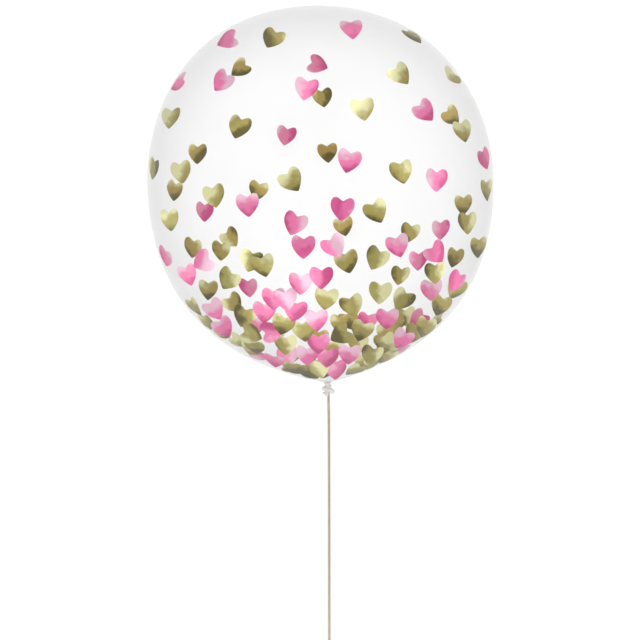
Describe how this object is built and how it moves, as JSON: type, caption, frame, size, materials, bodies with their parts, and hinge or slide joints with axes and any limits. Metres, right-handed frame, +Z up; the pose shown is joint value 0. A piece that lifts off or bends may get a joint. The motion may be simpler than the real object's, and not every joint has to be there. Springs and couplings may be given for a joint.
{
  "type": "confetti balloon",
  "caption": "Clear round party balloon filled with heart-shaped foil confetti, knotted at the neck, lying on its side with a flat ribbon.",
  "frame": {"origin": "on the floor, under the middle of the balloon's own box, ribbon left out", "axes": "+Y from the neck to the crown along the balloon's length, +Z up from the floor that it lies on, +X to the right seen from above with the crown away"},
  "size_m": [0.6098, 1.2962, 0.6074],
  "materials": {
    "clear_latex": "thin clear latex film, glossy, milky grey where it is seen edge on and at the neck",
    "ribbon_gold": "satin gold-beige curling ribbon",
    "foil_pink": "pink metallised film",
    "foil_gold": "pale gold metallised film"
  },
  "bodies": {
    "root": {"balloon": "clear_latex", "ribbon_tie": "ribbon_gold", "ribbon": "ribbon_gold", "ribbon_coil": "ribbon_gold"}
  },
  "joints": []
}
